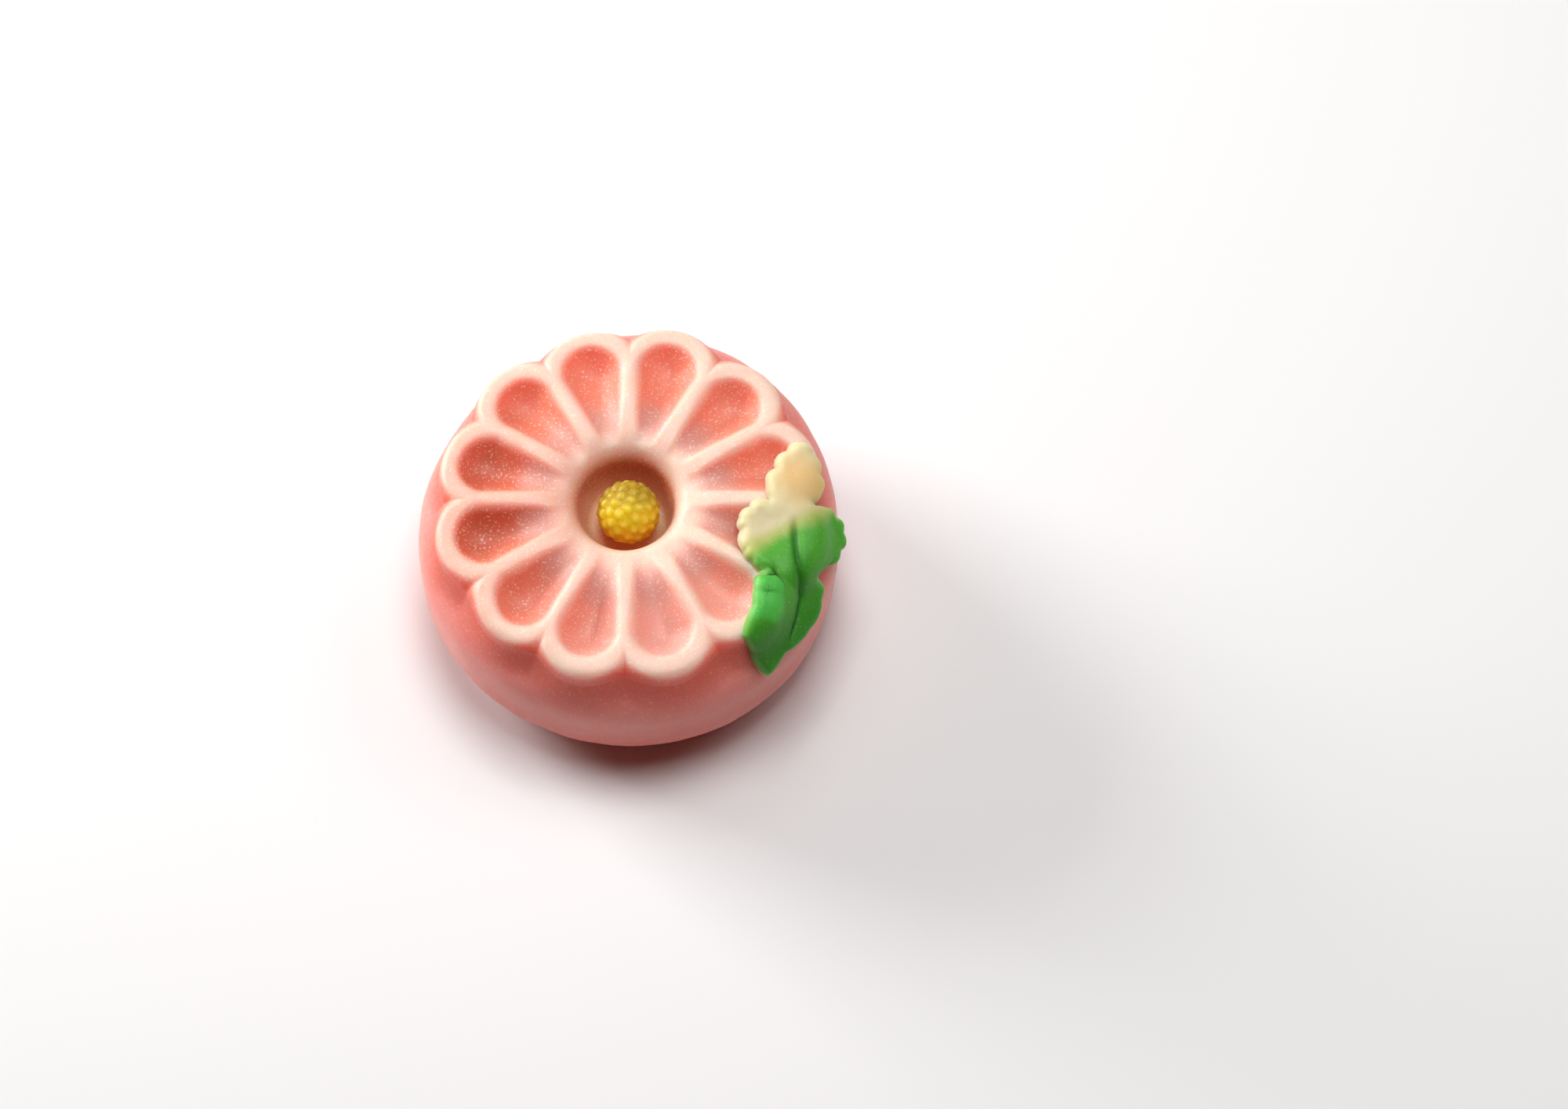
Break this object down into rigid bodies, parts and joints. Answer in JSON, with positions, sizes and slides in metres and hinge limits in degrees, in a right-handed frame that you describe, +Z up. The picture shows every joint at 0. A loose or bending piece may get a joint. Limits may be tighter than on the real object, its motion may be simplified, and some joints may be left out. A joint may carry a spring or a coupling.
{
  "type": "chrysanthemum sweet",
  "caption": "Soft bean paste sweet shaped as a pink and cream chrysanthemum, with hollowed petals, a seeded yellow heart in its well and a lobed green leaf on its shoulder.",
  "frame": {"origin": "centre of the flat underside, on the surface that the sweet rests on", "axes": "+Z up through the middle of the flower; -Y towards the front, where the petal tips are lowest; +X to the right, towards the leaf"},
  "size_m": [0.0515, 0.0509, 0.0257],
  "materials": {
    "pink_paste": "soft, moist and matt",
    "cream_paste": "soft, moist and matt, with pink showing through where it is thin",
    "yellow_paste": "soft, moist and matt",
    "green_paste": "soft, moist and matt, running to cream at the upper end"
  },
  "bodies": {
    "root": {"bun": "pink_paste", "petal_layer": "cream_paste", "stamen_ball": "yellow_paste", "leaf": "green_paste"}
  },
  "joints": []
}
